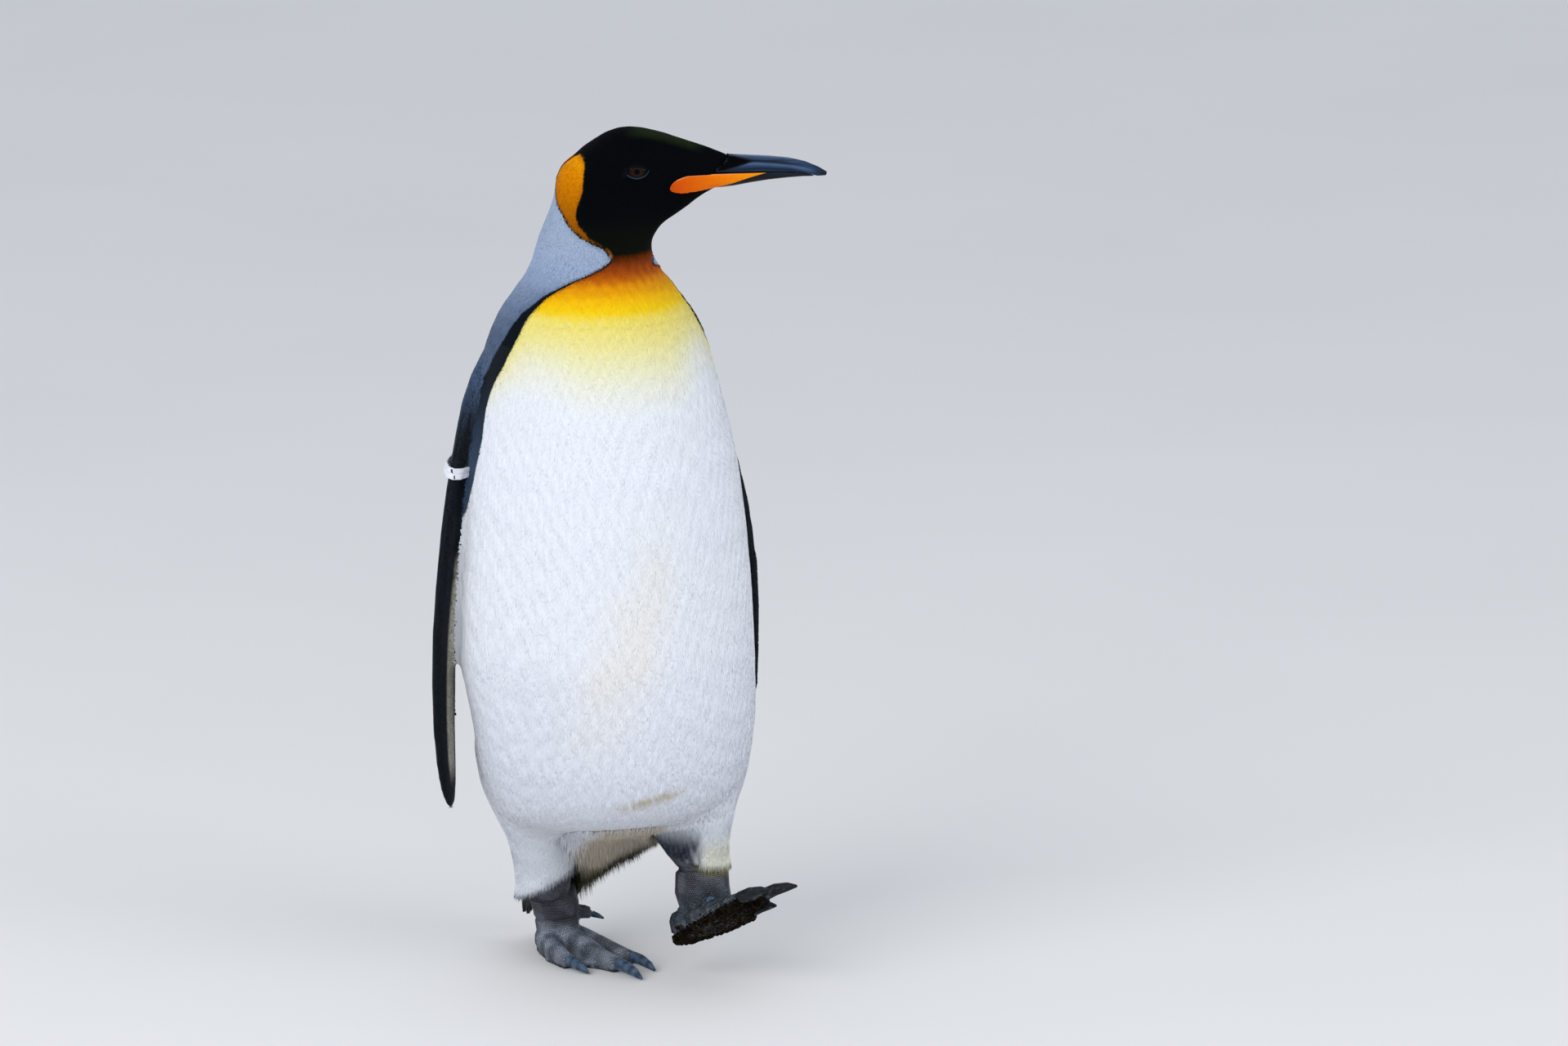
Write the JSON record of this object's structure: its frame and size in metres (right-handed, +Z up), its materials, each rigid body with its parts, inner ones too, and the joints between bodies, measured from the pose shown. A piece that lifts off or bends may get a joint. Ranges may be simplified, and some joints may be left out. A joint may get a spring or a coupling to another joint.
{
  "type": "king penguin, life-size still model",
  "caption": "Life-size still king penguin in mid-stride: one foot planted, the other raised, flippers down, head turned to its left.",
  "frame": {"origin": "on the floor, on the flat sole of the planted right foot, under the bird's centre of mass", "axes": "+Z up, the breast faces -Y, the bird's left side is +X; the head is turned 70 degrees to its left"},
  "size_m": [0.34, 0.2606, 0.732],
  "materials": {
    "head_feathers": "short dense black feathers with a faint green gloss",
    "neck_feathers": "short dense feathers, orange bib in front and silver grey behind",
    "body_feathers": "dense overlapping feathers, white in front and blue grey behind",
    "flipper_feathers": "scale-like blue black feathers, cream below",
    "tail_feathers": "stiff narrow black feathers",
    "foot_skin": "dry scaly grey black skin",
    "bill_horn": "glossy blue black horn",
    "plate_horn": "glossy orange horn",
    "claw_horn": "worn blue grey horn",
    "eye": "wet dark brown eye",
    "band_plastic": "white plastic identity band, blank"
  },
  "bodies": {
    "root": {"head": "head_feathers", "neck": "neck_feathers", "trunk": "body_feathers", "tail": "tail_feathers", "bill_upper": "bill_horn", "bill_lower": "bill_horn", "bill_plate_right": "plate_horn", "bill_plate_left": "plate_horn", "eye_right": "eye", "eye_left": "eye", "flipper_right": "flipper_feathers", "flipper_left": "flipper_feathers", "flipper_band": "band_plastic", "thigh_right": "body_feathers", "thigh_left": "body_feathers", "shank_right": "foot_skin", "shank_left": "foot_skin", "foot_right": "foot_skin", "foot_left": "foot_skin", "hallux_right": "foot_skin", "hallux_left": "foot_skin", "claw_hallux_right": "claw_horn", "claw_hallux_left": "claw_horn", "claw_outer_right": "claw_horn", "claw_middle_right": "claw_horn", "claw_inner_right": "claw_horn", "claw_outer_left": "claw_horn", "claw_middle_left": "claw_horn", "claw_inner_left": "claw_horn"}
  },
  "joints": []
}
